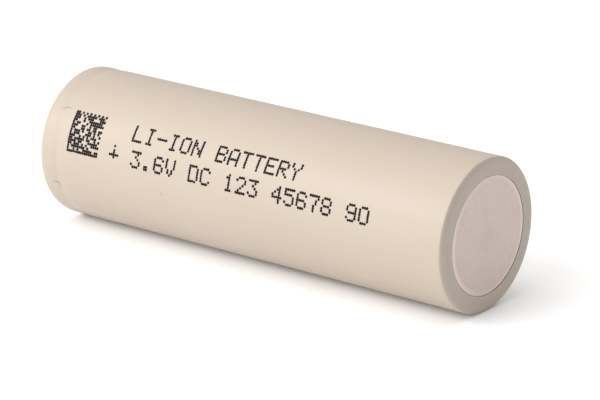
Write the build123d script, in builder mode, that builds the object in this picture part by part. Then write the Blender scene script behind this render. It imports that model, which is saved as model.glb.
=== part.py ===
"""Cylindrical lithium-ion cell, 21700 format, lying on its side.

The cell's axis runs along X: the positive terminal faces -X and the negative base faces +X.
Z is up and the origin is on the ground under the middle of the cell.
Distances along the cell are heights above the negative base, as if it stood on that base.
Lengths are in millimetres and angles in degrees.
"""

import os
from math import degrees

from build123d import *

# ---- driving dimensions -------------------------------------------------------------------

CELL_LENGTH = 70.15  # over both terminals
CELL_RADIUS = 10.65  # outside of the shrink sleeve
CLEARANCE = 0.015  # between curved pieces that lie against each other

# shrink sleeve, closed over both end corners
SLEEVE_THICKNESS = 0.09
SLEEVE_BASE_HEIGHT = 0.05  # its lip lies just behind the base's raised disc
SLEEVE_TOP_HEIGHT = 69.80
SLEEVE_BASE_LIP_RADIUS = 8.28
SLEEVE_TOP_LIP_RADIUS = 8.10
SLEEVE_BASE_CORNER = 0.55
SLEEVE_TOP_CORNER = 0.92

# can: base with a raised disc, wall, bead groove and crimped mouth
CAN_RADIUS = CELL_RADIUS - SLEEVE_THICKNESS - CLEARANCE
CAN_WALL = 0.25
CAN_BASE_THICKNESS = 0.40
CAN_BASE_CORNER = SLEEVE_BASE_CORNER - SLEEVE_THICKNESS - CLEARANCE
CAN_INNER_CORNER = 0.15
CAN_WALL_START = 1.00
BASE_DISC_RADIUS = 8.20
BASE_DISC_RISE = 0.15
BASE_DISC_BEVEL = 0.12
BEAD_HEIGHT = 66.665
BEAD_WIDTH = 0.93  # between the middles of its two flanks
BEAD_CREST_RADIUS = 9.33
BEAD_BEND = 0.35
CRIMP_HEIGHT = 69.255  # middle of the folded lip
CRIMP_LIP_RADIUS = 8.60
CRIMP_BEND = 0.725

# washer between the crimped mouth and the sleeve
WASHER_INNER_RADIUS = 6.05
WASHER_OUTER_RADIUS = 9.60
WASHER_BOTTOM = 69.40
WASHER_THICKNESS = 0.29

# crimp gasket; each leg is given as its bottom and its top
GASKET_SKIRT_INNER = 8.87
GASKET_SKIRT_OUTER = 9.18
GASKET_SKIRT_BOTTOM = 66.30
GASKET_INNER = 9.90
GASKET_OUTER = 10.27
GASKET_ROOF_LIP_RADIUS = 8.70
GASKET_FLOOR = (67.27, 67.60)
GASKET_ROOF = (68.75, 69.11)
GASKET_ROOF_ROUND = 0.70
GASKET_FLOOR_CHAMFER = 0.25

# positive cap
CAP_THICKNESS = 0.50
CAP_RIM_RADIUS = 9.50
CAP_RIM_HEIGHT = 68.17  # middle of the sheet
CAP_FOOT_RADIUS = 6.30
CAP_SHOULDER_RADIUS = 5.20
CAP_BEND = 0.45
CAP_WINDOWS = 3
CAP_WINDOW_LENGTH = 3.20
CAP_WINDOW_WIDTH = 0.85
CAP_WINDOW_HEIGHT = 69.02

# vent disc: heights are those of the middle of its sheet
VENT_THICKNESS = 0.30
VENT_FOLD_RADIUS = 8.65
VENT_FOLD_HEIGHT = 68.58
VENT_WALL_RADIUS = 9.70
VENT_RIM_HEIGHT = 67.76
VENT_WELL_RADIUS = 6.75
VENT_MEMBRANE_HEIGHT = 67.10
VENT_DIMPLE_TOP_RADIUS = 2.10
VENT_DIMPLE_FLOOR_RADIUS = 1.40
VENT_DIMPLE_HEIGHT = 66.70
VENT_BEND = 0.20
VENT_SCORE_RADIUS = 4.20
VENT_SCORE_WIDTH = 0.30
VENT_SCORE_DEPTH = 0.14

# current interrupt plate
CID_PLATE_RADIUS = 6.48
CID_PLATE_BOTTOM = 66.12
CID_PLATE_THICKNESS = 0.42
CID_HOLES = 6
CID_HOLE_RADIUS = 0.75
CID_HOLE_CIRCLE = 3.60
CID_GROOVE_INNER = 1.70
CID_GROOVE_OUTER = 1.95
CID_GROOVE_DEPTH = 0.22

# current interrupt ring: a flat flange, a skirt round the plate and a lip under it
CID_RING_OUTER = 6.86
CID_RING_SKIRT = 6.51
CID_RING_LIP = 6.15
CID_RING_INNER = 5.00
CID_RING_BOTTOM = 65.80
CID_RING_LIP_TOP = 66.10
CID_RING_FLANGE_BOTTOM = 66.56
CID_RING_TOP = 66.93

# insulating discs at the ends of the winding
DISC_THICKNESS = 0.30
UPPER_DISC_RADIUS = 9.90
UPPER_DISC_BOTTOM = 64.97
UPPER_DISC_BORE = 2.00
UPPER_DISC_HOLES = 6
UPPER_DISC_HOLE_RADIUS = 0.90
UPPER_DISC_HOLE_CIRCLE = 8.00
LOWER_DISC_RADIUS = 9.45
LOWER_DISC_BOTTOM = 0.66
LOWER_DISC_BORE = 2.85

# winding: bottom and top of each sheet, and its first and last half turn from the core
WINDING_START_RADIUS = 2.10
SHEET_GAP = 0.015
SEPARATOR_THICKNESS = 0.04
SEPARATOR_SPAN = (1.00, 64.85)
SEPARATOR_HALF_TURNS = (0, 35)
ANODE_THICKNESS = 0.16
ANODE_SPAN = (2.20, 63.90)
ANODE_HALF_TURNS = (1, 34)
CATHODE_THICKNESS = 0.15
CATHODE_SPAN = (3.00, 63.10)
CATHODE_HALF_TURNS = (3, 33)
TAPE_THICKNESS = 0.05
TAPE_SPAN = (3.50, 62.50)
TAPE_HALF_TURNS = (33, 35)

# tabs: each lies in a pocket in its electrode and is welded at its other end
TAB_THICKNESS = 0.10
TAB_GAP = 0.005
TAB_POCKET_SIDE = 0.60  # room beside the tab
TAB_TAPE_THICKNESS = 0.03
TAB_TAPE_SIDE = 0.35  # how far the tape runs past the tab's edges
POSITIVE_TAB_HALF_TURN = 16
POSITIVE_TAB_WIDTH = 4.00
POSITIVE_TAB_START = 6.50
POSITIVE_TAB_FOLD_HEIGHT = 65.60
POSITIVE_TAB_WELD_HEIGHT = 66.06
POSITIVE_TAB_TURN_RADIUS = 3.00  # where it doubles back past the axis
POSITIVE_TAB_END_RADIUS = 2.20
POSITIVE_TAB_BEND = 0.20
OUTER_NEGATIVE_TAB_HALF_TURN = 33
OUTER_NEGATIVE_TAB_WIDTH = 4.00
OUTER_NEGATIVE_TAB_BOTTOM = 0.42
OUTER_NEGATIVE_TAB_END = 1.80  # past the axis
INNER_NEGATIVE_TAB_HALF_TURN = 1
INNER_NEGATIVE_TAB_WIDTH = 3.00
INNER_NEGATIVE_TAB_BOTTOM = 0.54
INNER_NEGATIVE_TAB_END = 1.40
NEGATIVE_TAB_TOP = 58.0


# ---- layers of the winding: near and far face, outwards from the first layer's near face ----

def layer_after(previous, thickness):
    """The near and far face of the layer that follows another one."""
    near = previous[1] + SHEET_GAP
    return (near, near + thickness)


INNER_SEPARATOR = (0.0, SEPARATOR_THICKNESS)
ANODE = layer_after(INNER_SEPARATOR, ANODE_THICKNESS)
OUTER_SEPARATOR = layer_after(ANODE, SEPARATOR_THICKNESS)
CATHODE = layer_after(OUTER_SEPARATOR, CATHODE_THICKNESS)
WINDING_TAPE = layer_after(OUTER_SEPARATOR, TAPE_THICKNESS)
PITCH = CATHODE[1] + SHEET_GAP


# ---- planes -------------------------------------------------------------------------------

BASE_X = CELL_LENGTH / 2
AXIS_DIRECTION = Vector(-1, 0, 0)  # from the base to the positive terminal
FRONT = Vector(0, -1, 0)
CELL_AXIS = Axis((0, 0, CELL_RADIUS), AXIS_DIRECTION)

# half section of the cell: local X is the radius, upwards, and local Y is the height
SECTION = Plane(origin=(BASE_X, 0, CELL_RADIUS), x_dir=(0, 0, 1), z_dir=FRONT)


def level(height):
    """Cross-section plane at a height: local X is the front, local Y is up."""
    origin = (BASE_X - height, 0, CELL_RADIUS)
    return Plane(origin=origin, x_dir=FRONT, z_dir=AXIS_DIRECTION)


def outward(angle, height):
    """Plane through the axis at a height, facing outwards at an angle from the front."""
    facing = FRONT.rotate(Axis((0, 0, 0), AXIS_DIRECTION), angle)
    origin = (BASE_X - height, 0, CELL_RADIUS)
    return Plane(origin=origin, x_dir=AXIS_DIRECTION, z_dir=facing)


# ---- the winding's curve --------------------------------------------------------------------
# Each turn is an upper half circle round the axis and a lower one round a point half a pitch
# to the side, so that every turn ends one pitch further out than it began.

def is_lower(half_turn):
    """Whether a half turn, counted from the core, is a lower one."""
    return half_turn % 2 == 1


def half_turn_centre(half_turn):
    """Centre of a half turn in the cross-section."""
    return (PITCH / 2, 0) if is_lower(half_turn) else (0, 0)


def half_turn_radius(half_turn, offset):
    """Radius of a half turn at an offset outwards from the first layer's near face."""
    return WINDING_START_RADIUS + half_turn * PITCH / 2 + offset


def half_turn_start(half_turn, offset):
    """Point where a half turn begins, which is where the one before it ends."""
    side = -1 if is_lower(half_turn) else 1
    return (half_turn_centre(half_turn)[0] + side * half_turn_radius(half_turn, offset), 0)


def half_turn_middle(half_turn):
    """Direction of the middle of a half turn."""
    return 270 if is_lower(half_turn) else 90


def draw_winding(layer, half_turns):
    """Outline of a wound layer: half circles along both of its faces, and its two ends."""
    first, last = half_turns
    for offset in layer:
        for half_turn in range(first, last):
            start_angle = half_turn_middle(half_turn) - 90
            radius = half_turn_radius(half_turn, offset)
            CenterArc(half_turn_centre(half_turn), radius, start_angle, 180)
    for end in half_turns:
        Line(half_turn_start(end, layer[0]), half_turn_start(end, layer[1]))


def draw_arc_strip(centre, inner, outer, middle, width):
    """Outline of a curved strip: a piece of a ring, of a given width along its curve."""
    half_angle = degrees(width / (inner + outer))
    start = middle - half_angle
    near = CenterArc(centre, inner, start, 2 * half_angle)
    far = CenterArc(centre, outer, start, 2 * half_angle)
    Line(near @ 0, far @ 0)
    Line(near @ 1, far @ 1)


def draw_tab_strip(half_turn, band, width):
    """Outline of a strip between two offsets in a half turn, such as a tab or its pocket."""
    inner = half_turn_radius(half_turn, band[0])
    outer = half_turn_radius(half_turn, band[1])
    draw_arc_strip(half_turn_centre(half_turn), inner, outer, half_turn_middle(half_turn), width)


# where each tab and tape lies between the faces of its electrode
POSITIVE_TAB_BAND = (CATHODE[0] + TAB_GAP, CATHODE[0] + TAB_GAP + TAB_THICKNESS)
POSITIVE_POCKET_BAND = (CATHODE[0] - SHEET_GAP / 2, POSITIVE_TAB_BAND[1] + TAB_GAP)
POSITIVE_TAPE_BAND = (POSITIVE_TAB_BAND[1] + TAB_GAP, POSITIVE_TAB_BAND[1] + TAB_GAP + TAB_TAPE_THICKNESS)
NEGATIVE_TAB_BAND = (ANODE[1] - TAB_GAP - TAB_THICKNESS, ANODE[1] - TAB_GAP)
NEGATIVE_POCKET_BAND = (NEGATIVE_TAB_BAND[0] - TAB_GAP, ANODE[1] + SHEET_GAP / 2)
NEGATIVE_TAPE_BAND = (NEGATIVE_TAB_BAND[0] - TAB_GAP - TAB_TAPE_THICKNESS, NEGATIVE_TAB_BAND[0] - TAB_GAP)


os.makedirs("parts", exist_ok=True)


def save(piece, name):
    """Label a finished piece and write it."""
    piece.part.label = name
    export_step(piece.part, f"parts/{name}.step")


# ---- shrink sleeve --------------------------------------------------------------------------

with BuildPart() as shrink_sleeve:
    with BuildSketch(SECTION):
        with BuildLine():
            half = SLEEVE_THICKNESS / 2
            FilletPolyline(
                (SLEEVE_BASE_LIP_RADIUS, SLEEVE_BASE_HEIGHT + half),
                (CELL_RADIUS - half, SLEEVE_BASE_HEIGHT + half),
                (CELL_RADIUS - half, SLEEVE_TOP_HEIGHT - half),
                (SLEEVE_TOP_LIP_RADIUS, SLEEVE_TOP_HEIGHT - half),
                radius=[SLEEVE_BASE_CORNER - half, SLEEVE_TOP_CORNER - half],
            )
        trace(line_width=SLEEVE_THICKNESS)
    revolve(axis=CELL_AXIS)
save(shrink_sleeve, "shrink_sleeve")


# ---- can --------------------------------------------------------------------------------------

with BuildPart() as cell_can:
    with BuildSketch(SECTION):
        # base, with its raised disc and bevelled step
        with BuildLine():
            inner_radius = CAN_RADIUS - CAN_WALL
            FilletPolyline(
                (0, 0),
                (BASE_DISC_RADIUS - BASE_DISC_BEVEL, 0),
                (BASE_DISC_RADIUS, BASE_DISC_BEVEL),
                (BASE_DISC_RADIUS, BASE_DISC_RISE),
                (CAN_RADIUS, BASE_DISC_RISE),
                (CAN_RADIUS, CAN_WALL_START),
                (inner_radius, CAN_WALL_START),
                (inner_radius, CAN_BASE_THICKNESS),
                (0, CAN_BASE_THICKNESS),
                radius=[0, 0, 0, 0, CAN_BASE_CORNER, 0, 0, CAN_INNER_CORNER, 0],
                close=True,
            )
        make_face()
        # wall, bead groove and crimped lip
        with BuildLine():
            wall_middle = CAN_RADIUS - CAN_WALL / 2
            bead_low = BEAD_HEIGHT - BEAD_WIDTH / 2
            bead_high = BEAD_HEIGHT + BEAD_WIDTH / 2
            FilletPolyline(
                (wall_middle, CAN_WALL_START),
                (wall_middle, bead_low),
                (BEAD_CREST_RADIUS, bead_low),
                (BEAD_CREST_RADIUS, bead_high),
                (wall_middle, bead_high),
                (wall_middle, CRIMP_HEIGHT),
                (CRIMP_LIP_RADIUS, CRIMP_HEIGHT),
                radius=[BEAD_BEND, BEAD_BEND, BEAD_BEND, BEAD_BEND, CRIMP_BEND],
            )
        trace(line_width=CAN_WALL)
    revolve(axis=CELL_AXIS)
save(cell_can, "cell_can")


# ---- top insulating washer --------------------------------------------------------------------

with BuildPart() as top_insulating_washer:
    with BuildSketch(level(WASHER_BOTTOM)):
        Circle(WASHER_OUTER_RADIUS)
        Circle(WASHER_INNER_RADIUS, mode=Mode.SUBTRACT)
    extrude(amount=WASHER_THICKNESS)
save(top_insulating_washer, "top_insulating_washer")


# ---- crimp gasket: a channel round the header's rim, with a skirt inside the bead --------------

with BuildPart() as crimp_gasket:
    with BuildSketch(SECTION):
        with BuildLine():
            FilletPolyline(
                (GASKET_SKIRT_INNER, GASKET_SKIRT_BOTTOM),
                (GASKET_SKIRT_OUTER, GASKET_SKIRT_BOTTOM),
                (GASKET_SKIRT_OUTER, GASKET_FLOOR[0]),
                (GASKET_OUTER - GASKET_FLOOR_CHAMFER, GASKET_FLOOR[0]),
                (GASKET_OUTER, GASKET_FLOOR[0] + GASKET_FLOOR_CHAMFER),
                (GASKET_OUTER, GASKET_ROOF[1]),
                (GASKET_ROOF_LIP_RADIUS, GASKET_ROOF[1]),
                (GASKET_ROOF_LIP_RADIUS, GASKET_ROOF[0]),
                (GASKET_INNER, GASKET_ROOF[0]),
                (GASKET_INNER, GASKET_FLOOR[1]),
                (GASKET_SKIRT_INNER, GASKET_FLOOR[1]),
                radius=[0, 0, 0, 0, 0, GASKET_ROOF_ROUND, 0, 0, 0, 0, 0],
                close=True,
            )
        make_face()
    revolve(axis=CELL_AXIS)
save(crimp_gasket, "crimp_gasket")


# ---- positive cap: a raised flat contact with vent windows in its flank ------------------------

with BuildPart() as positive_cap:
    with BuildSketch(SECTION):
        with BuildLine():
            contact_height = CELL_LENGTH - CAP_THICKNESS / 2
            FilletPolyline(
                (CAP_RIM_RADIUS, CAP_RIM_HEIGHT),
                (CAP_FOOT_RADIUS, CAP_RIM_HEIGHT),
                (CAP_SHOULDER_RADIUS, contact_height),
                (0, contact_height),
                radius=[CAP_BEND, CAP_BEND],
            )
        trace(line_width=CAP_THICKNESS)
    revolve(axis=CELL_AXIS)
    for window in range(CAP_WINDOWS):
        with BuildSketch(outward(360 / CAP_WINDOWS * window, CAP_WINDOW_HEIGHT)):
            SlotOverall(CAP_WINDOW_LENGTH, CAP_WINDOW_WIDTH, rotation=90)
        extrude(amount=CAP_RIM_RADIUS, mode=Mode.SUBTRACT)
save(positive_cap, "positive_cap")


# ---- vent disc: its edge is folded round the cap's rim ------------------------------------------

with BuildPart() as vent_disc:
    with BuildSketch(SECTION):
        with BuildLine():
            FilletPolyline(
                (VENT_FOLD_RADIUS, VENT_FOLD_HEIGHT),
                (VENT_WALL_RADIUS, VENT_FOLD_HEIGHT),
                (VENT_WALL_RADIUS, VENT_RIM_HEIGHT),
                (VENT_WELL_RADIUS, VENT_RIM_HEIGHT),
                (VENT_WELL_RADIUS, VENT_MEMBRANE_HEIGHT),
                (VENT_DIMPLE_TOP_RADIUS, VENT_MEMBRANE_HEIGHT),
                (VENT_DIMPLE_FLOOR_RADIUS, VENT_DIMPLE_HEIGHT),
                (0, VENT_DIMPLE_HEIGHT),
                radius=VENT_BEND,
            )
        trace(line_width=VENT_THICKNESS)
    revolve(axis=CELL_AXIS)
    # score line in the underside of the membrane
    with BuildSketch(SECTION):
        with BuildLine():
            underside = VENT_MEMBRANE_HEIGHT - VENT_THICKNESS / 2
            Polyline(
                (VENT_SCORE_RADIUS - VENT_SCORE_WIDTH / 2, underside),
                (VENT_SCORE_RADIUS + VENT_SCORE_WIDTH / 2, underside),
                (VENT_SCORE_RADIUS, underside + VENT_SCORE_DEPTH),
                close=True,
            )
        make_face()
    revolve(axis=CELL_AXIS, mode=Mode.SUBTRACT)
save(vent_disc, "vent_disc")


# ---- current interrupt: perforated plate and the ring that insulates it -------------------------

with BuildPart() as cid_plate:
    with BuildSketch(level(CID_PLATE_BOTTOM)):
        Circle(CID_PLATE_RADIUS)
        with PolarLocations(CID_HOLE_CIRCLE, CID_HOLES):
            Circle(CID_HOLE_RADIUS, mode=Mode.SUBTRACT)
    extrude(amount=CID_PLATE_THICKNESS)
    # break groove round the weld
    with BuildSketch(level(CID_PLATE_BOTTOM + CID_PLATE_THICKNESS)):
        Circle(CID_GROOVE_OUTER)
        Circle(CID_GROOVE_INNER, mode=Mode.SUBTRACT)
    extrude(amount=-CID_GROOVE_DEPTH, mode=Mode.SUBTRACT)
save(cid_plate, "cid_plate")

with BuildPart() as cid_insulator_ring:
    with BuildSketch(SECTION):
        with BuildLine():
            Polyline(
                (CID_RING_LIP, CID_RING_BOTTOM),
                (CID_RING_OUTER, CID_RING_BOTTOM),
                (CID_RING_OUTER, CID_RING_TOP),
                (CID_RING_INNER, CID_RING_TOP),
                (CID_RING_INNER, CID_RING_FLANGE_BOTTOM),
                (CID_RING_SKIRT, CID_RING_FLANGE_BOTTOM),
                (CID_RING_SKIRT, CID_RING_LIP_TOP),
                (CID_RING_LIP, CID_RING_LIP_TOP),
                close=True,
            )
        make_face()
    revolve(axis=CELL_AXIS)
save(cid_insulator_ring, "cid_insulator_ring")


# ---- insulating discs at the ends of the winding -------------------------------------------------

with BuildPart() as upper_insulator_disc:
    with BuildSketch(level(UPPER_DISC_BOTTOM)):
        Circle(UPPER_DISC_RADIUS)
        Circle(UPPER_DISC_BORE, mode=Mode.SUBTRACT)
        with PolarLocations(UPPER_DISC_HOLE_CIRCLE, UPPER_DISC_HOLES):
            Circle(UPPER_DISC_HOLE_RADIUS, mode=Mode.SUBTRACT)
        # slot for the positive tab and its tape
        with BuildLine():
            tab_radius = half_turn_radius(POSITIVE_TAB_HALF_TURN, POSITIVE_TAB_BAND[1])
            slot_width = POSITIVE_TAB_WIDTH + 2 * (TAB_TAPE_SIDE + TAB_POCKET_SIDE)
            slot_inner = tab_radius - 2 * TAB_POCKET_SIDE
            slot_outer = tab_radius + TAB_POCKET_SIDE / 2
            slot_middle = half_turn_middle(POSITIVE_TAB_HALF_TURN)
            draw_arc_strip((0, 0), slot_inner, slot_outer, slot_middle, slot_width)
        make_face(mode=Mode.SUBTRACT)
    extrude(amount=DISC_THICKNESS)
save(upper_insulator_disc, "upper_insulator_disc")

with BuildPart() as lower_insulator_disc:
    with BuildSketch(level(LOWER_DISC_BOTTOM)):
        Circle(LOWER_DISC_RADIUS)
        Circle(LOWER_DISC_BORE, mode=Mode.SUBTRACT)
    extrude(amount=DISC_THICKNESS)
save(lower_insulator_disc, "lower_insulator_disc")


# ---- wound sheets ---------------------------------------------------------------------------------

with BuildPart() as inner_separator:
    with BuildSketch(level(SEPARATOR_SPAN[0])):
        with BuildLine():
            draw_winding(INNER_SEPARATOR, SEPARATOR_HALF_TURNS)
        make_face()
    extrude(amount=SEPARATOR_SPAN[1] - SEPARATOR_SPAN[0])
save(inner_separator, "inner_separator")

with BuildPart() as outer_separator:
    with BuildSketch(level(SEPARATOR_SPAN[0])):
        with BuildLine():
            draw_winding(OUTER_SEPARATOR, SEPARATOR_HALF_TURNS)
        make_face()
    extrude(amount=SEPARATOR_SPAN[1] - SEPARATOR_SPAN[0])
save(outer_separator, "outer_separator")

with BuildPart() as anode_sheet:
    with BuildSketch(level(ANODE_SPAN[0])):
        with BuildLine():
            draw_winding(ANODE, ANODE_HALF_TURNS)
        make_face()
    extrude(amount=ANODE_SPAN[1] - ANODE_SPAN[0])
    # bare strips of foil that the two negative tabs are welded to
    for half_turn, width in (
        (INNER_NEGATIVE_TAB_HALF_TURN, INNER_NEGATIVE_TAB_WIDTH),
        (OUTER_NEGATIVE_TAB_HALF_TURN, OUTER_NEGATIVE_TAB_WIDTH),
    ):
        with BuildSketch(level(ANODE_SPAN[0])):
            with BuildLine():
                draw_tab_strip(half_turn, NEGATIVE_POCKET_BAND, width + 2 * TAB_POCKET_SIDE)
            make_face()
        extrude(amount=NEGATIVE_TAB_TOP + TAB_POCKET_SIDE - ANODE_SPAN[0], mode=Mode.SUBTRACT)
save(anode_sheet, "anode_sheet")

with BuildPart() as cathode_sheet:
    with BuildSketch(level(CATHODE_SPAN[0])):
        with BuildLine():
            draw_winding(CATHODE, CATHODE_HALF_TURNS)
        make_face()
    extrude(amount=CATHODE_SPAN[1] - CATHODE_SPAN[0])
    # bare strip of foil that the positive tab is welded to
    pocket_bottom = POSITIVE_TAB_START - TAB_POCKET_SIDE
    with BuildSketch(level(pocket_bottom)):
        with BuildLine():
            pocket_width = POSITIVE_TAB_WIDTH + 2 * TAB_POCKET_SIDE
            draw_tab_strip(POSITIVE_TAB_HALF_TURN, POSITIVE_POCKET_BAND, pocket_width)
        make_face()
    extrude(amount=CATHODE_SPAN[1] - pocket_bottom, mode=Mode.SUBTRACT)
save(cathode_sheet, "cathode_sheet")

# film that closes the winding
with BuildPart() as winding_tape:
    with BuildSketch(level(TAPE_SPAN[0])):
        with BuildLine():
            draw_winding(WINDING_TAPE, TAPE_HALF_TURNS)
        make_face()
    extrude(amount=TAPE_SPAN[1] - TAPE_SPAN[0])
save(winding_tape, "winding_tape")


# ---- tabs and their tapes -----------------------------------------------------------------------

with BuildPart() as positive_tab:
    # leg in the winding
    with BuildSketch(level(POSITIVE_TAB_START)):
        with BuildLine():
            draw_tab_strip(POSITIVE_TAB_HALF_TURN, POSITIVE_TAB_BAND, POSITIVE_TAB_WIDTH)
        make_face()
    extrude(amount=POSITIVE_TAB_FOLD_HEIGHT + TAB_THICKNESS / 2 - POSITIVE_TAB_START)
    # leg folded over the winding and back to the current interrupt plate
    with BuildSketch(SECTION):
        with BuildLine():
            FilletPolyline(
                (half_turn_radius(POSITIVE_TAB_HALF_TURN, POSITIVE_TAB_BAND[0]), POSITIVE_TAB_FOLD_HEIGHT),
                (-POSITIVE_TAB_TURN_RADIUS, POSITIVE_TAB_FOLD_HEIGHT),
                (-POSITIVE_TAB_TURN_RADIUS, POSITIVE_TAB_WELD_HEIGHT),
                (POSITIVE_TAB_END_RADIUS, POSITIVE_TAB_WELD_HEIGHT),
                radius=POSITIVE_TAB_BEND,
            )
        trace(line_width=TAB_THICKNESS)
    extrude(amount=POSITIVE_TAB_WIDTH / 2, both=True)
save(positive_tab, "positive_tab")

with BuildPart() as positive_tab_tape:
    with BuildSketch(level(CATHODE_SPAN[1] + CLEARANCE)):
        with BuildLine():
            draw_tab_strip(POSITIVE_TAB_HALF_TURN, POSITIVE_TAPE_BAND, POSITIVE_TAB_WIDTH + 2 * TAB_TAPE_SIDE)
        make_face()
    extrude(amount=POSITIVE_TAB_FOLD_HEIGHT - TAB_THICKNESS - CATHODE_SPAN[1])
save(positive_tab_tape, "positive_tab_tape")


# each negative tab has a leg in the winding and a foot folded across the axis under the lower disc
NEGATIVE_TABS = (
    (
        "negative_tab_outer",
        OUTER_NEGATIVE_TAB_HALF_TURN,
        OUTER_NEGATIVE_TAB_WIDTH,
        OUTER_NEGATIVE_TAB_BOTTOM,
        OUTER_NEGATIVE_TAB_END,
    ),
    (
        "negative_tab_inner",
        INNER_NEGATIVE_TAB_HALF_TURN,
        INNER_NEGATIVE_TAB_WIDTH,
        INNER_NEGATIVE_TAB_BOTTOM,
        INNER_NEGATIVE_TAB_END,
    ),
)
for name, half_turn, width, bottom, end in NEGATIVE_TABS:
    with BuildPart() as negative_tab:
        with BuildSketch(level(bottom)):
            with BuildLine():
                draw_tab_strip(half_turn, NEGATIVE_TAB_BAND, width)
            make_face()
        extrude(amount=NEGATIVE_TAB_TOP - bottom)
        with BuildSketch(level(bottom)):
            leg_radius = half_turn_radius(half_turn, NEGATIVE_TAB_BAND[0])
            with Locations((half_turn_centre(half_turn)[0], (end - leg_radius) / 2)):
                Rectangle(width, end + leg_radius)
        extrude(amount=TAB_THICKNESS)
    save(negative_tab, name)

with BuildPart() as negative_tab_tape:
    with BuildSketch(level(SEPARATOR_SPAN[0])):
        with BuildLine():
            tape_width = OUTER_NEGATIVE_TAB_WIDTH + 2 * TAB_TAPE_SIDE
            draw_tab_strip(OUTER_NEGATIVE_TAB_HALF_TURN, NEGATIVE_TAPE_BAND, tape_width)
        make_face()
    extrude(amount=ANODE_SPAN[0] - CLEARANCE - SEPARATOR_SPAN[0])
save(negative_tab_tape, "negative_tab_tape")
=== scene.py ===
"""Looks of a cylindrical battery cell in a printed shrink film, on a pale studio floor.

Heights are distances along the cell above its negative base, in millimetres, and angles round
the cell are counted from the front, upwards. Everything that Blender is given is in metres.
"""

import math

import bmesh
import bpy
import numpy as np
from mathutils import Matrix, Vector


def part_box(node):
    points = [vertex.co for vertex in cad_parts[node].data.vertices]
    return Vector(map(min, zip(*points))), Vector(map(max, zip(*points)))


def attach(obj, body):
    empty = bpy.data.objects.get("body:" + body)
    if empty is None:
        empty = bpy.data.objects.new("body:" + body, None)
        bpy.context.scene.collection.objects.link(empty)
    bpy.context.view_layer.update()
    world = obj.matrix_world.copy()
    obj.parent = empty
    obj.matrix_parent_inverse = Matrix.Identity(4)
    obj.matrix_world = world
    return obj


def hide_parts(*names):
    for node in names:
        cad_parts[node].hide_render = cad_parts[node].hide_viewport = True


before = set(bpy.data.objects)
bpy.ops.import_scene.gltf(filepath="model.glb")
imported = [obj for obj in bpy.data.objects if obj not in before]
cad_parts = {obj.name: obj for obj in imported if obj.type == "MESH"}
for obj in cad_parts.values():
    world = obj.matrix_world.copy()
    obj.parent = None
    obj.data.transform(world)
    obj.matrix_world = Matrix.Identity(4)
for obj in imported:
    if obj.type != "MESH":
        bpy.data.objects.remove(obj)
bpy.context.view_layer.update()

MM = 0.001
rng = np.random.default_rng(21)

# ---- sizes read from the frame -----------------------------------------------------------------

sleeve_low, sleeve_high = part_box("shrink_sleeve")
can_low, can_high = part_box("cell_can")
AXIS_Z = (sleeve_low.z + sleeve_high.z) / 2
BASE_X = can_high.x
FILM_RADIUS = (sleeve_high.y - sleeve_low.y) / 2 / MM
FILM_BOTTOM = (BASE_X - sleeve_high.x) / MM
FILM_TOP = (BASE_X - sleeve_low.x) / MM
CAN_RADIUS = (can_high.y - can_low.y) / 2 / MM
CAN_TOP = (BASE_X - can_low.x) / MM
CENTRE = Vector((0, 0, AXIS_Z))

# ---- shape of the film and the can ---------------------------------------------------------------

SEGMENTS = 320
FILM_THICKNESS = 0.09
BASE_LIP_RADIUS = 8.205
BASE_LIP_SHIFT = 0.065  # the film sits off centre, which opens a gap at the lower right
BASE_LIP_SHIFT_TOWARDS = math.radians(205)
TOP_LIP_RADIUS = 8.10
BASE_CORNER = (0.45, 1.05)  # how far the corner reaches along the axis, and inwards
TOP_CORNER = (1.00, 0.50)
BEAD_HEIGHT = 66.66
BEAD_DIP = 0.10
BEAD_DIP_WIDTH = 0.75
BEAD_DIP_UNEVENNESS = 8  # how strongly the broad wave deepens the dip
BEAD_REACH = 2.5 * BEAD_DIP_WIDTH
BASE_ZONE = 1.0  # below this height the film belongs to the base
TOP_ZONE = 60.0  # above this height it belongs to the top
SIDE_FADE = 0.3  # share of the way in from the side where the side's waves fade out
PUCKER = 0.003  # folds in the film's flat ends
TOP_PUCKER = 0.020  # how much higher the folds are at the top
BASE_LIP_REACH = 0.8  # width of the edge strip that follows the lip's unevenness
TOP_LIP_REACH = 0.9
BASE_LIP_UNEVENNESS = 0.008
TOP_LIP_UNEVENNESS = 0.09
TOP_LIP_PHASE = 9.0  # a height that gives the top lip another wave than the base
LIP_NOTCHES = ((186, 0.07), (246, 0.10))  # angles in degrees, and depths
LIP_NOTCH_WIDTH = math.radians(1.2)

DISC_RADIUS = 8.14
DISC_RISE = 0.15
DISC_BEVEL_START = 7.60
CAN_WALL = 0.25
CAN_BASE_THICKNESS = 0.40
CAN_BASE_CORNER = 0.60
CAN_BEAD = (66.20, 67.13)
CAN_BEAD_CREST = 9.20
CRIMP_LIP_RADIUS = 8.60
POINT_RADIUS = 0.02  # of the small face that closes the can's base in its middle
DISC_KNEE = (0.055, 0.05)  # height of the bevel's knee, and its distance in from the disc's edge
DISC_EDGE_HEIGHT = 0.10
WELD_DENT_DEPTH = 0.05
WELD_DENT_WIDTH = 0.55
WELD_DENT_ACROSS = 1.1
WELD_DENT_UP = 0.5
DISH_DEPTH = 0.02
DISH_RADIUS = 7.0
BASE_FACE_HEIGHT = 0.02  # the dents and the dish lie below this height


def to_frame(height, radius, angle):
    """Points in the row frame from heights, radii and angles."""
    x = BASE_X - height * MM
    y = -radius * MM * np.cos(angle)
    z = AXIS_Z + radius * MM * np.sin(angle)
    return np.stack(np.broadcast_arrays(x, y, z), axis=-1)


def direction(azimuth, elevation):
    """Unit vector from the cell towards a viewing direction given in degrees."""
    a, e = math.radians(azimuth), math.radians(elevation)
    return Vector((math.sin(a) * math.cos(e), -math.cos(a) * math.cos(e), math.sin(e)))


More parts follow.
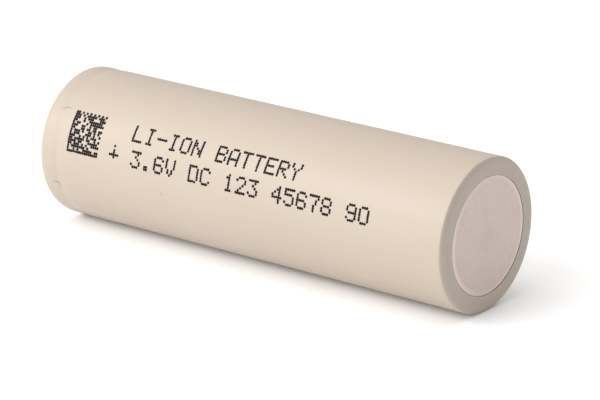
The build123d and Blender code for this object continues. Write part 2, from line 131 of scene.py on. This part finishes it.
def smooth_step(low, high, value):
    t = np.clip((value - low) / (high - low), 0, 1)
    return t * t * (3 - 2 * t)


def bump(centre, width, value):
    """A smooth hump of height 1."""
    return np.exp(-(((value - centre) / width) ** 2))


def waves(count, turns, cycles, size):
    """A random smooth wave over the film: a function of height and angle, about size high."""
    around = rng.integers(turns[0], turns[1] + 1, count)
    along = rng.uniform(cycles[0], cycles[1], count) * 2 * math.pi / FILM_TOP
    phase = rng.uniform(0, 2 * math.pi, (2, count))
    share = rng.uniform(0.5, 1.0, count)
    share *= size / np.sqrt((share**2).sum())

    def wave(height, angle):
        total = 0.0
        for k in range(count):
            across = np.cos(around[k] * angle + phase[0, k])
            total = total + share[k] * across * np.cos(along[k] * height + phase[1, k])
        return total

    return wave


broad_wave = waves(8, (2, 6), (0.2, 1.5), 0.011)
streak_wave = waves(14, (9, 30), (0.0, 2.0), 0.0045)
ripple_wave = waves(10, (14, 40), (6, 16), 0.0010)
pucker_wave = waves(12, (18, 46), (0, 1), 1.0)
lip_wave = waves(9, (3, 15), (0, 1), 1.0)


def film_relief(height, radius, angle):
    """How far the film stands off its plain shape, in millimetres."""
    reach_in = np.clip((FILM_RADIUS - radius) / (FILM_RADIUS - TOP_LIP_RADIUS), 0, 1)
    side = 1 - smooth_step(0.0, SIDE_FADE, reach_in)
    relief = side * (broad_wave(height, angle) + streak_wave(height, angle) + ripple_wave(height, angle))
    dip = BEAD_DIP * (1 + BEAD_DIP_UNEVENNESS * broad_wave(FILM_TOP, angle))
    relief = relief - side * dip * bump(BEAD_HEIGHT, BEAD_DIP_WIDTH, height)
    near_top = smooth_step(TOP_ZONE, FILM_TOP, height)
    pucker = reach_in * (PUCKER + TOP_PUCKER * near_top)
    return relief + pucker * pucker_wave(0.0, angle)


LIP_ROWS = 12
BASE_CORNER_ROWS = 15
SIDE_ROWS = 120
BEAD_ROWS = 40
TOP_CORNER_ROWS = 19
TOP_LIP_ROWS = 14


def film_outline():
    """Outside of the film in half section, from its lip at the base to its lip at the top.

    Rows of height, radius, and the two parts of the outward normal.
    """
    rows = []
    along, inward = BASE_CORNER
    for radius in np.linspace(BASE_LIP_RADIUS, FILM_RADIUS - inward, LIP_ROWS):
        rows.append((FILM_BOTTOM, radius, -1.0, 0.0))
    for turn in np.linspace(0, math.pi / 2, BASE_CORNER_ROWS)[1:]:
        height = FILM_BOTTOM + along * (1 - math.cos(turn))
        radius = FILM_RADIUS - inward * (1 - math.sin(turn))
        rows.append((height, radius, -math.cos(turn) / along, math.sin(turn) / inward))
    start = FILM_BOTTOM + along
    along, inward = TOP_CORNER
    end = FILM_TOP - along
    fine_from = BEAD_HEIGHT - BEAD_REACH
    for height in np.linspace(start, fine_from, SIDE_ROWS)[1:]:
        rows.append((height, FILM_RADIUS, 0.0, 1.0))
    for height in np.linspace(fine_from, end, BEAD_ROWS)[1:]:
        rows.append((height, FILM_RADIUS, 0.0, 1.0))
    for turn in np.linspace(0, math.pi / 2, TOP_CORNER_ROWS)[1:]:
        height = end + along * math.sin(turn)
        radius = FILM_RADIUS - inward * (1 - math.cos(turn))
        rows.append((height, radius, math.sin(turn) / along, math.cos(turn) / inward))
    for radius in np.linspace(FILM_RADIUS - inward, TOP_LIP_RADIUS, TOP_LIP_ROWS)[1:]:
        rows.append((FILM_TOP, radius, 1.0, 0.0))
    rows = np.array(rows)
    rows[:, 2:] /= np.linalg.norm(rows[:, 2:], axis=1)[:, None]
    return rows


# ---- mesh helpers --------------------------------------------------------------------------------

def make_piece(name, points, faces, material, replaced=None):
    """A smooth closed piece that rides the cell."""
    made = make_object(name, points, faces, material)
    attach(made, "root")
    if replaced:
        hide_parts(replaced)
    return made


def make_object(name, points, faces, material):
    """A smooth mesh object with its normals facing outwards."""
    mesh = bpy.data.meshes.new(name)
    mesh.from_pydata(np.asarray(points).reshape(-1, 3).tolist(), [], faces)
    mesh.validate()
    bm = bmesh.new()
    bm.from_mesh(mesh)
    bmesh.ops.recalc_face_normals(bm, faces=bm.faces)
    bm.to_mesh(mesh)
    bm.free()
    mesh.shade_smooth()
    mesh.materials.append(material)
    made = bpy.data.objects.new(name, mesh)
    bpy.context.scene.collection.objects.link(made)
    return made


def ring_faces(rings, segments, closed):
    """Faces between rings of points that go round the cell, the last joined to the first if closed."""
    faces = []
    for ring in range(rings if closed else rings - 1):
        near = ring * segments
        far = (ring + 1) % rings * segments
        for k in range(segments):
            after = (k + 1) % segments
            faces.append((near + k, near + after, far + after, far + k))
    return faces


def rounded(corners, radii, steps=8):
    """A path of heights and radii through corners, each rounded off by its own radius."""
    path = [corners[0]]
    for before, corner, after, radius in zip(corners, corners[1:], corners[2:], radii):
        corner = np.array(corner, float)
        back = np.array(before) - corner
        onward = np.array(after) - corner
        back /= np.linalg.norm(back)
        onward /= np.linalg.norm(onward)
        half_angle = math.acos(np.clip(back @ onward, -1, 1)) / 2
        reach = radius / math.tan(half_angle)
        for t in np.linspace(0, 1, steps):
            bend = corner + (1 - t) ** 2 * reach * back + t**2 * reach * onward
            path.append(tuple(bend))
    path.append(corners[-1])
    return path


# ---- materials -----------------------------------------------------------------------------------

class Look:
    """A node material under construction, with its coordinates taken from the object."""

    def __init__(self, name, roughness, metallic=0.0):
        self.material = bpy.data.materials.new(name)
        self.material.use_nodes = True
        self.tree = self.material.node_tree
        self.shader = self.tree.nodes["Principled BSDF"]
        self.shader.inputs["Roughness"].default_value = roughness
        self.shader.inputs["Metallic"].default_value = metallic
        self.place = self.add("ShaderNodeTexCoord").outputs["Object"]

    def add(self, kind, **settings):
        node = self.tree.nodes.new(kind)
        for key, value in settings.items():
            setattr(node, key, value)
        return node

    def link(self, output, socket):
        self.tree.links.new(output, socket)

    def noise(self, per_mm, detail=3.0):
        """Noise with about this many features per millimetre along X, Y and Z."""
        mapping = self.add("ShaderNodeMapping")
        mapping.inputs["Scale"].default_value = [n / MM for n in per_mm]
        self.link(self.place, mapping.inputs["Vector"])
        noise = self.add("ShaderNodeTexNoise")
        noise.inputs["Scale"].default_value = 1.0
        noise.inputs["Detail"].default_value = detail
        self.link(mapping.outputs["Vector"], noise.inputs["Vector"])
        return noise.outputs["Fac"]

    def height(self):
        """Height above the base, in metres."""
        split = self.add("ShaderNodeSeparateXYZ")
        self.link(self.place, split.inputs["Vector"])
        return self.math("SUBTRACT", BASE_X, split.outputs["X"])

    def radius(self):
        """Distance from the cell's axis, in metres."""
        mapping = self.add("ShaderNodeMapping")
        mapping.inputs["Location"].default_value = (0, 0, -AXIS_Z)
        mapping.inputs["Scale"].default_value = (0, 1, 1)
        self.link(self.place, mapping.inputs["Vector"])
        length = self.add("ShaderNodeVectorMath", operation="LENGTH")
        self.link(mapping.outputs["Vector"], length.inputs[0])
        return length.outputs["Value"]

    def math(self, operation, one, other):
        """Arithmetic on two values, each given as a number or as a node's output."""
        node = self.add("ShaderNodeMath", operation=operation)
        for socket, value in zip(node.inputs, (one, other)):
            if isinstance(value, bpy.types.NodeSocket):
                self.link(value, socket)
            else:
                socket.default_value = value
        return node.outputs["Value"]

    def spread(self, value, low, high, from_low=0.3, from_high=0.7):
        """A value moved from one range to another."""
        node = self.add("ShaderNodeMapRange")
        node.inputs["From Min"].default_value = from_low
        node.inputs["From Max"].default_value = from_high
        node.inputs["To Min"].default_value = low
        node.inputs["To Max"].default_value = high
        self.link(value, node.inputs["Value"])
        return node.outputs["Result"]

    def mix(self, factor, one, other):
        """A colour between two others, each given as a colour or as a node's output."""
        node = self.add("ShaderNodeMix", data_type="RGBA")
        self.link(factor, node.inputs["Factor"])
        for socket, colour in ((node.inputs[6], one), (node.inputs[7], other)):
            if isinstance(colour, bpy.types.NodeSocket):
                self.link(colour, socket)
            else:
                socket.default_value = (*colour, 1.0)
        return node.outputs[2]

    def colour(self, output):
        self.link(output, self.shader.inputs["Base Color"])

    def roughness(self, output):
        self.link(output, self.shader.inputs["Roughness"])

    def bump(self, output, height_mm, strength=1.0):
        """Small relief, added to any that is there already."""
        node = self.add("ShaderNodeBump")
        node.inputs["Strength"].default_value = strength
        node.inputs["Distance"].default_value = height_mm * MM
        self.link(output, node.inputs["Height"])
        before = self.shader.inputs["Normal"]
        if before.is_linked:
            self.link(before.links[0].from_socket, node.inputs["Normal"])
        self.link(node.outputs["Normal"], before)


def shade(colour, factors):
    """A colour with each of its parts scaled."""
    return [c * f for c, f in zip(colour, factors)]


FILM_CREAM = (0.474, 0.400, 0.334)
# the film on the base end face is a little darker and greyer: painted shade, matched to how that end face
# is lit
FILM_END_SHADE = (0.452, 0.389, 0.332)


def film_look():
    """Cream heat-shrink film: faint mottling, and gloss broken by streaks along the cell."""
    look = Look("cream_film", 0.45)
    look.shader.inputs["Specular IOR Level"].default_value = 0.3
    mottling = look.spread(look.noise((0.05, 0.12, 0.12), 4.0), 0.0, 1.0)
    side = look.mix(mottling, FILM_CREAM, shade(FILM_CREAM, (0.975, 0.965, 0.955)))
    # the base end face gets the darker, greyer cream: painted shade
    base = look.mix(look.spread(look.height(), 0.0, 1.0, 0.5 * MM, 0.1 * MM), side, FILM_END_SHADE)
    specks = look.spread(look.noise((1.6, 1.6, 1.6), 2.0), 0.0, 0.4, 0.70, 0.80)
    look.colour(look.mix(specks, base, shade(FILM_CREAM, (0.86, 0.86, 0.86))))
    look.roughness(look.spread(look.noise((0.04, 0.8, 0.8), 3.0), 0.38, 0.50))
    look.bump(look.noise((0.05, 1.1, 1.1), 3.0), 0.010, 0.5)
    look.bump(look.noise((2.2, 2.2, 2.2), 2.0), 0.002, 0.5)
    return look.material


NICKEL = (0.582, 0.499, 0.446)


def nickel_look():
    """Matte nickel plate: fine speckle, faint stains, a painted highlight round the rim and a soft dark
    centre.
    """
    look = Look("matte_nickel", 0.5, metallic=1.0)
    speckle = look.spread(look.noise((4.5, 4.5, 4.5), 2.0), 0.0, 1.0)
    grain = look.mix(speckle, NICKEL, shade(NICKEL, (0.90, 0.89, 0.88)))
    stain = look.spread(look.noise((0.35, 0.35, 0.35), 4.0), 0.0, 0.5, 0.5, 0.75)
    stained = look.mix(stain, grain, shade(NICKEL, (0.86, 0.84, 0.83)))
    centre = look.spread(look.radius(), 0.5, 0.0, 0.2 * MM, 2.2 * MM)
    dulled = look.mix(centre, stained, shade(NICKEL, (0.84, 0.83, 0.82)))
    # the rim is lightened all round: a painted highlight where the bevel catches the light
    rim = look.spread(look.radius(), 0.0, 0.8, 7.4 * MM, 8.0 * MM)
    look.colour(look.mix(rim, dulled, shade(NICKEL, (1.18, 1.18, 1.18))))
    look.roughness(look.spread(look.noise((3.0, 3.0, 3.0), 2.0), 0.42, 0.56))
    look.bump(look.noise((6.0, 6.0, 6.0), 2.0), 0.004, 0.6)
    return look.material


def plain_look(name, light, dark, per_mm, roughness, metallic=0.0, specular=0.5):
    """A material with one scale of colour variation and one of relief."""
    look = Look(name, roughness, metallic)
    look.shader.inputs["Specular IOR Level"].default_value = specular
    look.colour(look.mix(look.spread(look.noise(per_mm), 0.0, 1.0), light, dark))
    rough = look.noise([2 * n for n in per_mm])
    look.roughness(look.spread(rough, roughness - 0.06, roughness + 0.08))
    look.bump(look.noise([4 * n for n in per_mm], 2.0), 0.002, 0.6)
    return look.material


# ---- film and can ----------------------------------------------------------------------------------

def base_lip_offset(angle):
    """How far the film's edge at the base lies outside its mean radius."""
    offset = BASE_LIP_SHIFT * np.cos(angle - BASE_LIP_SHIFT_TOWARDS)
    offset = offset + BASE_LIP_UNEVENNESS * lip_wave(0.0, angle)
    for notch, depth in LIP_NOTCHES:
        offset = offset + depth * bump(math.radians(notch), LIP_NOTCH_WIDTH, angle)
    return offset


INNER_ROW_STEP = 6  # the hidden inside of the film needs only every sixth row along the side


def make_film(material):
    """The shrink film: a closed skin, with its inside one thickness within its outside."""
    outline = film_outline()
    inner_rows = [
        k for k, (height, radius, _, _) in enumerate(outline)
        if radius < FILM_RADIUS or height > BEAD_HEIGHT - BEAD_REACH or k % INNER_ROW_STEP == 0
    ]
    angle = np.arange(SEGMENTS) * 2 * math.pi / SEGMENTS

    def surface(rows, depth):
        height, radius, along, outward = (rows[:, k][:, None] for k in range(4))
        relief = film_relief(height, radius, angle) - depth
        near_lip = 1 - smooth_step(BASE_LIP_RADIUS, BASE_LIP_RADIUS + BASE_LIP_REACH, radius)
        near_top_lip = 1 - smooth_step(TOP_LIP_RADIUS, TOP_LIP_RADIUS + TOP_LIP_REACH, radius)
        shift = near_lip * (height < BASE_ZONE) * base_lip_offset(angle)
        top_offset = TOP_LIP_UNEVENNESS * lip_wave(TOP_LIP_PHASE, angle)
        shift = shift + near_top_lip * (height > TOP_ZONE) * top_offset
        return to_frame(height + along * relief, radius + shift + outward * relief, angle)

    outside = surface(outline, 0.0)
    inside = surface(outline[inner_rows], FILM_THICKNESS)[::-1]
    points = np.concatenate([outside, inside])
    faces = ring_faces(len(points), SEGMENTS, closed=True)
    make_piece("shrink_film", points, faces, material, "shrink_sleeve")


OUTSIDE_STEP = 0.9  # longest step between the can's rings
INSIDE_STEP = 4.0


def make_can(material):
    """The can: raised base disc with a bevelled rim, wall, bead groove and crimped mouth."""
    low, high = CAN_BEAD
    inner = CAN_RADIUS - CAN_WALL
    knee_height, knee_inset = DISC_KNEE
    outside = rounded(
        [
            (0.0, POINT_RADIUS), (0.0, DISC_BEVEL_START), (knee_height, DISC_RADIUS - knee_inset),
            (DISC_EDGE_HEIGHT, DISC_RADIUS), (DISC_RISE, DISC_RADIUS), (DISC_RISE, CAN_RADIUS),
            (low, CAN_RADIUS),
            (low, CAN_BEAD_CREST), (high, CAN_BEAD_CREST), (high, CAN_RADIUS),
            (CAN_TOP, CAN_RADIUS), (CAN_TOP, CRIMP_LIP_RADIUS),
        ],
        [0.02, 0.03, 0.02, 0.02, CAN_BASE_CORNER, 0.4, 0.3, 0.3, 0.4, 0.85],
    )
    inside = rounded(
        [
            (CAN_TOP - CAN_WALL, CRIMP_LIP_RADIUS), (CAN_TOP - CAN_WALL, inner), (high + CAN_WALL, inner),
            (high + CAN_WALL, CAN_BEAD_CREST - CAN_WALL), (low - CAN_WALL, CAN_BEAD_CREST - CAN_WALL),
            (low - CAN_WALL, inner), (CAN_BASE_THICKNESS, inner), (CAN_BASE_THICKNESS, POINT_RADIUS),
        ],
        [0.6, 0.2, 0.3, 0.3, 0.2, 0.15],
    )
    path = np.array(insert_steps(outside, OUTSIDE_STEP) + insert_steps(inside, INSIDE_STEP))
    angle = np.arange(SEGMENTS) * 2 * math.pi / SEGMENTS
    height, radius = path[:, 0][:, None], path[:, 1][:, None]
    points = to_frame(height + base_relief(height, radius, angle), radius, angle)
    faces = ring_faces(len(path), SEGMENTS, closed=False)
    faces.append(tuple(range(SEGMENTS)))
    last = (len(path) - 1) * SEGMENTS
    faces.append(tuple(range(last, last + SEGMENTS)))
    make_piece("nickel_can", points, faces, material, "cell_can")


def base_relief(height, radius, angle):
    """Depth of the two weld dents near the middle of the base, and of its slight dishing."""
    on_base = height < BASE_FACE_HEIGHT
    across, up = radius * np.cos(angle), radius * np.sin(angle)
    dents = 0.0
    for side in (-1, 1):
        apart = np.hypot(across - WELD_DENT_ACROSS * side, up + WELD_DENT_UP * side)
        dents = dents + WELD_DENT_DEPTH * bump(0.0, WELD_DENT_WIDTH, apart)
    dish = DISH_DEPTH * (1 - smooth_step(0.0, DISH_RADIUS, radius))
    return on_base * (dents + dish)


def insert_steps(path, longest):
    """A path with extra points, so that no step is longer than a given length."""
    fine = [path[0]]
    for one, other in zip(path, path[1:]):
        count = max(1, math.ceil(math.dist(one, other) / longest))
        for k in range(1, count + 1):
            fine.append(tuple(np.array(one) + (np.array(other) - np.array(one)) * k / count))
    return fine


# ---- print -----------------------------------------------------------------------------------------

GLYPHS = {
    "A": ".###. #...# #...# #...# ##### #...# #...#",
    "B": "####. #...# #...# ####. #...# #...# ####.",
    "C": ".###. #...# #.... #.... #.... #...# .###.",
    "D": "####. #...# #...# #...# #...# #...# ####.",
    "E": "##### #.... #.... ####. #.... #.... #####",
    "I": ".###. ..#.. ..#.. ..#.. ..#.. ..#.. .###.",
    "L": "#.... #.... #.... #.... #.... #.... #####",
    "N": "#...# ##..# ##..# #.#.# #..## #..## #...#",
    "O": ".###. #...# #...# #...# #...# #...# .###.",
    "R": "####. #...# #...# ####. #.#.. #..#. #...#",
    "T": "##### ..#.. ..#.. ..#.. ..#.. ..#.. ..#..",
    "V": "#...# #...# #...# #...# .#.#. .#.#. ..#..",
    "Y": "#...# #...# .#.#. ..#.. ..#.. ..#.. ..#..",
    "0": ".###. #...# #...# #...# #...# #...# .###.",
    "1": "..#.. .##.. ..#.. ..#.. ..#.. ..#.. .###.",
    "2": ".###. #...# ....# ...#. ..#.. .#... #####",
    "3": "##### ...#. ..#.. ...#. ....# #...# .###.",
    "4": "...#. ..##. .#.#. #..#. ##### ...#. ...#.",
    "5": "##### #.... ####. ....# ....# #...# .###.",
    "6": ".###. #...# #.... ####. #...# #...# .###.",
    "7": "##### ....# ...#. ...#. ..#.. ..#.. ..#..",
    "8": ".###. #...# #...# .###. #...# #...# .###.",
    "9": ".###. #...# #...# .#### ....# #...# .###.",
    "-": "..... ..... ..... ##### ..... ..... .....",
    ".": "..... ..... ..... ..... ..... .##.. .##..",
    " ": "..... ..... ..... ..... ..... ..... .....",
}
PLUS_MARK = "..#.. ..... ..#.. ..#.. ##### ..#.."

DOT_RADIUS = 0.222
DOT_SIDES = 12
DOT_PROFILE = ((1.0, -0.004), (0.85, 0.007), (0.45, 0.010))  # share of the radius, and rise
DOT_SIZES = (0.92, 1.06)
DOT_SCATTER = 0.010
LETTER_COLUMNS = 6  # five for the letter and one after it
ROW_STEP = 0.345
MATRIX_CELLS = 16
MATRIX_COLUMN_STEP = 0.356
MATRIX_ROW_STEP = 0.376
MATRIX_DOT_RADIUS = 0.238
MATRIX_FILL = 0.58
LINE_1 = ("LI-ION BATTERY", 53.45, 5.36, 2.115)  # text, start, foot, and step between letters
LINE_2 = ("3.6V DC 123 45678 90", 52.86, 1.82, 2.07)
PLUS_PLACE = (56.85, 2.50, 0.355, 0.31)  # start, foot, and steps between columns and rows
MATRIX_PLACE = (64.55, 1.94)


def glyph_dots(rows, start, foot, column_step, row_step):
    """Places of a glyph's dots: height from its left edge on, and distance up round the cell."""
    rows = rows.split()
    dots = []
    for up, row in enumerate(reversed(rows)):
        for across, mark in enumerate(row):
            if mark == "#":
                dots.append((start - across * column_step, foot + up * row_step))
    return dots


def line_dots(text, start, foot, step):
    """Places of the dots of a line of text, which runs towards the base."""
    dots = []
    for k, letter in enumerate(text):
        dots += glyph_dots(GLYPHS[letter], start - k * step, foot, step / LETTER_COLUMNS, ROW_STEP)
    return dots


def matrix_dots(start, foot):
    """A made-up square of dots: solid on two sides, broken on the other two, random inside."""
    last = MATRIX_CELLS - 1
    filled = rng.random((MATRIX_CELLS, MATRIX_CELLS)) < MATRIX_FILL
    dots = []
    for across in range(MATRIX_CELLS):
        for up in range(MATRIX_CELLS):
            if across == 0 or up == 0:
                mark = True
            elif across == last or up == last:
                mark = (across + up) % 2 == 0
            else:
                mark = filled[across, up]
            if mark:
                dots.append((start - across * MATRIX_COLUMN_STEP, foot + up * MATRIX_ROW_STEP))
    return dots


def make_print(name, dots, dot_radius, material):
    """Dots of ink, each a low dome whose edge is sunk into the film."""
    turn = np.arange(DOT_SIDES) * 2 * math.pi / DOT_SIDES
    points, faces = [], []
    for height, arc in dots:
        size = dot_radius * rng.uniform(*DOT_SIZES)
        height = height + rng.normal(0, DOT_SCATTER)
        arc = arc + rng.normal(0, DOT_SCATTER)
        first = len(points)
        for share, rise in DOT_PROFILE:
            ring_height = height + size * share * np.cos(turn)
            ring_angle = (arc + size * share * np.sin(turn)) / FILM_RADIUS
            radius = FILM_RADIUS + film_relief(ring_height, FILM_RADIUS, ring_angle) + rise
            points.extend(to_frame(ring_height, radius, ring_angle))
        faces += [tuple(first + i for i in face) for face in ring_faces(3, DOT_SIDES, closed=False)]
        faces.append(tuple(range(first, first + DOT_SIDES)))
        faces.append(tuple(range(first + 2 * DOT_SIDES, first + 3 * DOT_SIDES)))
    make_piece(name, points, faces, material)


MARK_HALF_WIDTH = 0.12
MARK_RISE = 0.012
MARK_SIDES = 8
MARK_BEND = 0.3
MARK_STEP = 0.1
MARK_TAPER_START = 0.03  # share of the half wave that a mark's width follows
FILM_MARKS = [  # heights, and distances up round the cell
    [(47.48, -0.76), (47.23, -1.05), (47.12, -1.46)],
    [(67.63, 7.31), (66.72, 7.88), (65.70, 7.88)],
    [(67.97, -3.90), (67.27, -3.36), (66.69, -3.79), (66.79, -4.60)],
]


def make_marks(name, marks, material):
    """Small nicks and creases in the film: fine raised lines, tapered to both ends, half sunk."""
    turn = np.arange(MARK_SIDES) * 2 * math.pi / MARK_SIDES
    points, faces = [], []
    for corners in marks:
        bends = [MARK_BEND] * (len(corners) - 2)
        line = np.array(insert_steps(rounded(corners, bends), MARK_STEP))
        along = np.gradient(line, axis=0)
        along /= np.linalg.norm(along, axis=1)[:, None]
        size = np.sin(np.linspace(MARK_TAPER_START, 1 - MARK_TAPER_START, len(line)) * math.pi)
        first = len(points)
        for k, (height, arc) in enumerate(line):
            across = MARK_HALF_WIDTH * size[k] * np.cos(turn)
            ring_height = height - along[k, 1] * across
            ring_angle = (arc + along[k, 0] * across) / FILM_RADIUS
            rise = MARK_RISE * size[k] * np.sin(turn)
            radius = FILM_RADIUS + film_relief(ring_height, FILM_RADIUS, ring_angle) + rise
            points.extend(to_frame(ring_height, radius, ring_angle))
        rings = ring_faces(len(line), MARK_SIDES, closed=False)
        faces += [tuple(first + i for i in face) for face in rings]
        faces.append(tuple(range(first, first + MARK_SIDES)))
        faces.append(tuple(range(len(points) - MARK_SIDES, len(points))))
    make_piece(name, points, faces, material)


# ---- build the cell ----------------------------------------------------------------------------------

WHITE_FILM = ((0.72, 0.72, 0.70), (0.66, 0.66, 0.64))
DARK_COATING = ((0.035, 0.035, 0.037), (0.025, 0.025, 0.027))
NICKEL_STRIP = ((0.62, 0.59, 0.55), (0.54, 0.51, 0.47))
AMBER_TAPE = ((0.50, 0.24, 0.05), (0.42, 0.19, 0.04))
GREEN_TAPE = ((0.05, 0.30, 0.16), (0.04, 0.25, 0.13))
CLEAR_GREY = ((0.45, 0.46, 0.47), (0.38, 0.39, 0.40))
PAPER = ((0.62, 0.60, 0.55), (0.52, 0.50, 0.45))
BRIGHT_NICKEL = ((0.60, 0.57, 0.53), (0.52, 0.49, 0.45))
ALUMINIUM = ((0.78, 0.78, 0.79), (0.70, 0.70, 0.71))
INK = ((0.008, 0.007, 0.007), (0.013, 0.011, 0.011))
INK_SPECULAR = 0.12
# darker cream for the film marks: the scratch's own darker tone, and painted shade along the creases
SCRATCH_AND_SHADE_CREAM = ((0.36, 0.30, 0.25), (0.30, 0.25, 0.21))

LOOKS = {
    "washer_paper": plain_look("washer_paper", *PAPER, (2, 2, 2), 0.8),
    "gasket_polymer": plain_look("gasket_polymer", *CLEAR_GREY, (0.8, 0.8, 0.8), 0.45),
    "bright_nickel": plain_look("bright_nickel", *BRIGHT_NICKEL, (3, 3, 3), 0.38, 1.0),
    "aluminium": plain_look("aluminium", *ALUMINIUM, (0.3, 3, 3), 0.34, 1.0),
    "insulator_polymer": plain_look("insulator_polymer", *WHITE_FILM, (1, 1, 1), 0.5),
    "separator_film": plain_look("separator_film", *WHITE_FILM, (0.3, 0.8, 0.8), 0.55),
    "anode_coating": plain_look("anode_coating", *DARK_COATING, (2, 2, 2), 0.8),
    "cathode_coating": plain_look("cathode_coating", *DARK_COATING, (2, 2, 2), 0.7),
    "nickel_strip": plain_look("nickel_strip", *NICKEL_STRIP, (0.5, 3, 3), 0.35, 1.0),
    "amber_tape": plain_look("amber_tape", *AMBER_TAPE, (0.8, 0.8, 0.8), 0.3),
    "green_tape": plain_look("green_tape", *GREEN_TAPE, (0.8, 0.8, 0.8), 0.3),
    "black_ink": plain_look("black_ink", *INK, (3, 3, 3), 0.6, specular=INK_SPECULAR),
    # the marks' darker cream: real scuffing on the scratch, painted shade on the creases
    "shade_and_scuff_film_mark": plain_look("shade_and_scuff_film_mark", *SCRATCH_AND_SHADE_CREAM, (3, 3, 3), 0.5),
}
NODE_LOOKS = {
    "top_insulating_washer": "washer_paper",
    "crimp_gasket": "gasket_polymer",
    "positive_cap": "bright_nickel",
    "vent_disc": "aluminium",
    "cid_plate": "aluminium",
    "cid_insulator_ring": "insulator_polymer",
    "upper_insulator_disc": "insulator_polymer",
    "lower_insulator_disc": "insulator_polymer",
    "inner_separator": "separator_film",
    "outer_separator": "separator_film",
    "anode_sheet": "anode_coating",
    "cathode_sheet": "cathode_coating",
    "winding_tape": "green_tape",
    "positive_tab": "aluminium",
    "positive_tab_tape": "amber_tape",
    "negative_tab_outer": "nickel_strip",
    "negative_tab_inner": "nickel_strip",
    "negative_tab_tape": "amber_tape",
}

for node, look in NODE_LOOKS.items():
    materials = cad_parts[node].data.materials
    materials.clear()
    materials.append(LOOKS[look])

make_film(film_look())
make_can(nickel_look())

make_print("print_line_1", line_dots(*LINE_1), DOT_RADIUS, LOOKS["black_ink"])
make_print("print_line_2", line_dots(*LINE_2), DOT_RADIUS, LOOKS["black_ink"])
make_print("print_plus", glyph_dots(PLUS_MARK, *PLUS_PLACE), DOT_RADIUS, LOOKS["black_ink"])
make_print("print_matrix", matrix_dots(*MATRIX_PLACE), MATRIX_DOT_RADIUS, LOOKS["black_ink"])
make_marks("film_marks", FILM_MARKS, LOOKS["shade_and_scuff_film_mark"])


# ---- stage, light and camera ---------------------------------------------------------------------------

FLOOR_HALF = 4.0
FLOOR_GLOW = 0.05  # the floor is a table lit faintly from below
WORLD_BRIGHTNESS = 0.45
CAMERA_AZIMUTH = 38.271
CAMERA_ELEVATION = 18.193
CAMERA_DISTANCE = 0.44944
CAMERA_LENS = 195.89
CAMERA_AIM = Vector((0.0037052, 0, -0.001473))  # from the cell's middle
SENSOR_WIDTH = 36.0
SOFTBOXES = [  # name, azimuth, elevation, distance, width, height, radiance
    ("top_softbox", -50, 70, 1.0, 1.2, 1.2, 1.30),
    ("front_softbox", -28, 34, 0.9, 1.0, 0.4, 5.0),
    ("low_softbox", -28, 9, 0.9, 1.0, 0.25, 2.3),
    ("back_softbox", 178, 36, 1.0, 0.9, 0.6, 1.9),
]


def make_floor():
    look = Look("pale_floor", 0.9)
    grain = look.spread(look.noise((0.02, 0.02, 0.02), 2.0), 0.0, 1.0)
    look.colour(look.mix(grain, (0.95, 0.95, 0.95), (0.94, 0.94, 0.94)))
    look.shader.inputs["Emission Color"].default_value = (1.0, 1.0, 1.0, 1.0)
    look.shader.inputs["Emission Strength"].default_value = FLOOR_GLOW
    h = FLOOR_HALF
    corners = [(-h, -h, 0), (h, -h, 0), (h, h, 0), (-h, h, 0)]
    make_object("studio_floor", corners, [(0, 1, 2, 3)], look.material)


def add_softbox(name, azimuth, elevation, distance, width, height, radiance):
    """A rectangular soft light that faces the cell. Its brightness is the same at any size."""
    light = bpy.data.lights.new(name, "AREA")
    light.shape = "RECTANGLE"
    light.size = width
    light.size_y = height
    light.energy = radiance * math.pi * width * height
    lamp = bpy.data.objects.new(name, light)
    back = direction(azimuth, elevation)
    lamp.location = CENTRE + back * distance
    lamp.rotation_euler = (-back).to_track_quat("-Z", "Y").to_euler()
    bpy.context.scene.collection.objects.link(lamp)


def make_camera():
    data = bpy.data.cameras.new("camera")
    data.lens = CAMERA_LENS
    data.sensor_width = SENSOR_WIDTH
    camera = bpy.data.objects.new("camera", data)
    camera.location = CENTRE + direction(CAMERA_AZIMUTH, CAMERA_ELEVATION) * CAMERA_DISTANCE
    sight = CENTRE + CAMERA_AIM - camera.location
    camera.rotation_euler = sight.to_track_quat("-Z", "Y").to_euler()
    bpy.context.scene.collection.objects.link(camera)
    bpy.context.scene.camera = camera


def make_world():
    world = bpy.data.worlds.new("studio")
    world.use_nodes = True
    background = world.node_tree.nodes["Background"]
    background.inputs["Color"].default_value = (1.0, 1.0, 1.0, 1.0)
    background.inputs["Strength"].default_value = WORLD_BRIGHTNESS
    bpy.context.scene.world = world


make_floor()
make_world()
for softbox in SOFTBOXES:
    add_softbox(*softbox)
make_camera()
bpy.context.scene.view_settings.view_transform = "Standard"
